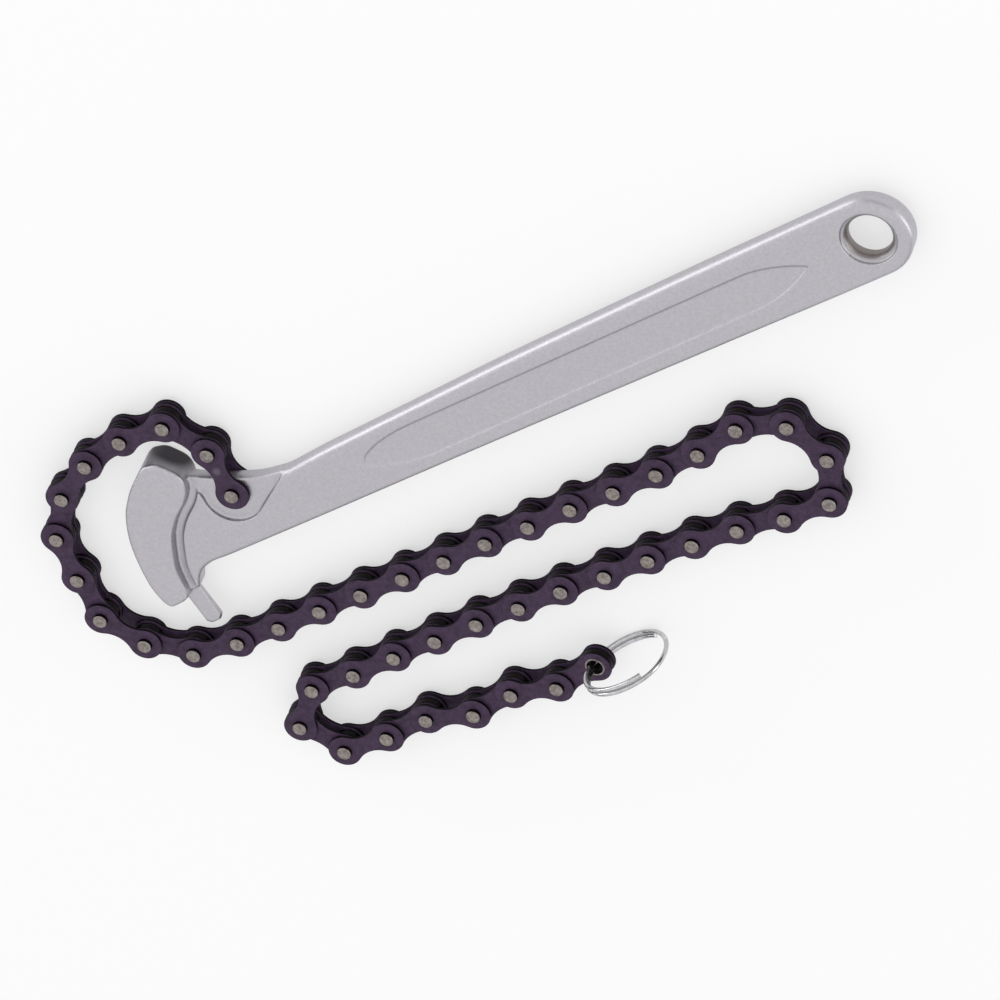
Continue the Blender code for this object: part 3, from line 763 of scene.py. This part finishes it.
def metal(name, colour, roughness, metallic, specular, grain, mottle, contrast):
    """A metal with cloudy colour and roughness and a fine grain; grain and mottle are sizes in metres."""
    made = bpy.data.materials.new(name)
    made.use_nodes = True
    nodes, links = made.node_tree.nodes, made.node_tree.links
    shader = nodes["Principled BSDF"]
    shader.inputs["Metallic"].default_value = metallic
    shader.inputs["Specular IOR Level"].default_value = specular
    place = nodes.new("ShaderNodeTexCoord").outputs["Object"]
    clouds = nodes.new("ShaderNodeTexNoise")
    clouds.inputs["Scale"].default_value = 1 / mottle
    clouds.inputs["Detail"].default_value = CLOUD_DETAIL
    clouds.inputs["Roughness"].default_value = CLOUD_ROUGHNESS
    links.new(place, clouds.inputs["Vector"])
    tint = nodes.new("ShaderNodeValToRGB")
    for end, at, share in zip(tint.color_ramp.elements, CLOUD_SPAN, (1 - contrast, 1 + contrast)):
        end.position = at
        end.color = (*[min(channel * share, 1) for channel in colour], 1)
    links.new(clouds.outputs["Fac"], tint.inputs["Fac"])
    links.new(tint.outputs["Color"], shader.inputs["Base Color"])
    rough = nodes.new("ShaderNodeMapRange")
    rough.inputs["From Min"].default_value, rough.inputs["From Max"].default_value = CLOUD_SPAN
    rough.inputs["To Min"].default_value = roughness - ROUGHNESS_SPREAD
    rough.inputs["To Max"].default_value = roughness + ROUGHNESS_SPREAD
    links.new(clouds.outputs["Fac"], rough.inputs["Value"])
    links.new(rough.outputs["Result"], shader.inputs["Roughness"])
    fine = nodes.new("ShaderNodeTexNoise")
    fine.inputs["Scale"].default_value = 1 / grain
    fine.inputs["Detail"].default_value = GRAIN_DETAIL
    links.new(place, fine.inputs["Vector"])
    bump = nodes.new("ShaderNodeBump")
    bump.inputs["Strength"].default_value = GRAIN_STRENGTH
    bump.inputs["Distance"].default_value = grain * GRAIN_DEPTH_SHARE
    links.new(fine.outputs["Fac"], bump.inputs["Height"])
    links.new(bump.outputs["Normal"], shader.inputs["Normal"])
    return made


def stain_and_painted_shadow(look, centre, reach, cover, tint):
    """Another colour round a point of the model at rest, full at the nearer reach and gone at the farther; it
    makes the grime, the scuff and the painted shadow on the horn.
    """
    nodes, links = look.node_tree.nodes, look.node_tree.links
    colour = nodes["Principled BSDF"].inputs["Base Color"]
    clean = colour.links[0].from_socket
    away = nodes.new("ShaderNodeVectorMath")
    away.operation = "DISTANCE"
    away.inputs[1].default_value = centre
    links.new(nodes["Texture Coordinate"].outputs["Object"], away.inputs[0])
    amount = nodes.new("ShaderNodeMapRange")
    amount.interpolation_type = "SMOOTHSTEP"
    amount.inputs["From Min"].default_value, amount.inputs["From Max"].default_value = reach
    amount.inputs["To Min"].default_value = cover
    amount.inputs["To Max"].default_value = 0
    links.new(away.outputs["Value"], amount.inputs["Value"])
    mixed = nodes.new("ShaderNodeMix")
    mixed.data_type = "RGBA"
    mixed.inputs["B"].default_value = (*tint, 1)
    links.new(amount.outputs["Result"], mixed.inputs["Factor"])
    links.new(clean, mixed.inputs["A"])
    links.new(mixed.outputs["Result"], colour)


def materials():
    """All looks, with a painted shadow of the chain on the forging's horn and grime in its hanging hole."""
    looks = {name: metal(name, *recipe) for name, recipe in LOOK_RECIPES.items()}
    # Painted shadow of the chain, darkening the horn's end wall under it
    stain_and_painted_shadow(looks["satin_plated_steel"], CHAIN_SHADOW_CENTRE, CHAIN_SHADOW_REACH, CHAIN_SHADOW_COVER, CHAIN_SHADOW_COLOUR)
    stain_and_painted_shadow(looks["satin_plated_steel"], SHANK_END, GRIME_REACH, GRIME_COVER, GRIME_COLOUR)
    return looks


def floor():
    """A plain floor: pale and partly aglow to the camera and in reflections, duller for bounced light."""
    mesh = bpy.data.meshes.new("floor")
    half = FLOOR_SIZE / 2
    corners = [(-half, -half, 0), (half, -half, 0), (half, half, 0), (-half, half, 0)]
    mesh.from_pydata(corners, [], [(0, 1, 2, 3)])
    obj = add_object("floor", mesh)
    look = bpy.data.materials.new("floor")
    look.use_nodes = True
    nodes, links = look.node_tree.nodes, look.node_tree.links
    shader = nodes["Principled BSDF"]
    shader.inputs["Roughness"].default_value = FLOOR_ROUGHNESS
    path = nodes.new("ShaderNodeLightPath")
    seen = path.outputs["Is Camera Ray"]
    for ray in ("Is Glossy Ray", "Is Transmission Ray"):
        either = nodes.new("ShaderNodeMath")
        either.operation = "MAXIMUM"
        links.new(seen, either.inputs[0])
        links.new(path.outputs[ray], either.inputs[1])
        seen = either.outputs[0]
    colour = nodes.new("ShaderNodeMix")
    colour.data_type = "RGBA"
    colour.inputs["A"].default_value = (*FLOOR_BOUNCE, 1)
    colour.inputs["B"].default_value = (*FLOOR_COLOUR, 1)
    links.new(seen, colour.inputs["Factor"])
    links.new(colour.outputs["Result"], shader.inputs["Base Color"])
    share = nodes.new("ShaderNodeMath")
    share.operation = "MULTIPLY"
    share.inputs[1].default_value = FLOOR_GLOW_SHARE
    links.new(seen, share.inputs[0])
    glow = nodes.new("ShaderNodeEmission")
    both = nodes.new("ShaderNodeMixShader")
    links.new(share.outputs[0], both.inputs["Fac"])
    links.new(shader.outputs[0], both.inputs[1])
    links.new(glow.outputs[0], both.inputs[2])
    links.new(both.outputs[0], nodes["Material Output"].inputs["Surface"])
    mesh.materials.append(look)


def area_light(name, place, target, size, power):
    data = bpy.data.lights.new(name, "AREA")
    data.shape = "RECTANGLE"
    data.size, data.size_y = size
    data.energy = power
    obj = add_object(name, data)
    obj.location = place
    obj.rotation_euler = (Vector(target) - Vector(place)).to_track_quat("-Z", "Y").to_euler()


def light():
    scene = bpy.context.scene
    world = bpy.data.worlds.new("studio")
    scene.world = world
    world.use_nodes = True
    nodes, links = world.node_tree.nodes, world.node_tree.links
    background = nodes["Background"]
    background.inputs["Color"].default_value = (1, 1, 1, 1)
    direction = nodes.new("ShaderNodeTexCoord")
    parts = nodes.new("ShaderNodeSeparateXYZ")
    rise = nodes.new("ShaderNodeMapRange")
    rise.inputs["From Min"].default_value, rise.inputs["From Max"].default_value = SKY_RISE
    rise.inputs["To Min"].default_value = SKY_LOW
    rise.inputs["To Max"].default_value = SKY_TOP
    links.new(direction.outputs["Generated"], parts.inputs[0])
    links.new(parts.outputs["Z"], rise.inputs["Value"])
    links.new(rise.outputs["Result"], background.inputs["Strength"])
    area_light("key", KEY_PLACE, KEY_TARGET, KEY_SIZE, KEY_POWER)
    area_light("fill", FILL_PLACE, FILL_TARGET, FILL_SIZE, FILL_POWER)
    scene.view_settings.view_transform = "Standard"


def camera():
    data = bpy.data.cameras.new("camera")
    data.sensor_width = SENSOR_WIDTH
    data.lens = CAMERA_LENS
    data.clip_end = CAMERA_CLIP_END
    obj = add_object("camera", data)
    back = (CAMERA_PLACE - CAMERA_TARGET).normalized()
    right = CAMERA_UP.cross(back).normalized()
    up = back.cross(right)
    turn = Matrix((right, up, back)).transposed()
    obj.matrix_world = Matrix.Translation(CAMERA_PLACE) @ turn.to_4x4()
    bpy.context.scene.camera = obj


def main():
    for obj in list(bpy.data.objects):
        bpy.data.objects.remove(obj)
    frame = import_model()
    joints = {joint["name"]: joint for joint in frame["joints"]}
    looks = materials()
    identity = Matrix.Identity(4)
    forging = coloured(handle_mesh(), looks["satin_plated_steel"])
    piece("wrench_handle", forging, identity, "handle", ["handle"])
    chain(joints, looks)
    split_ring(Vector(joints["ring_swing"]["pos_m"]), looks["nickel_wire"])
    floor()
    light()
    camera()


main()
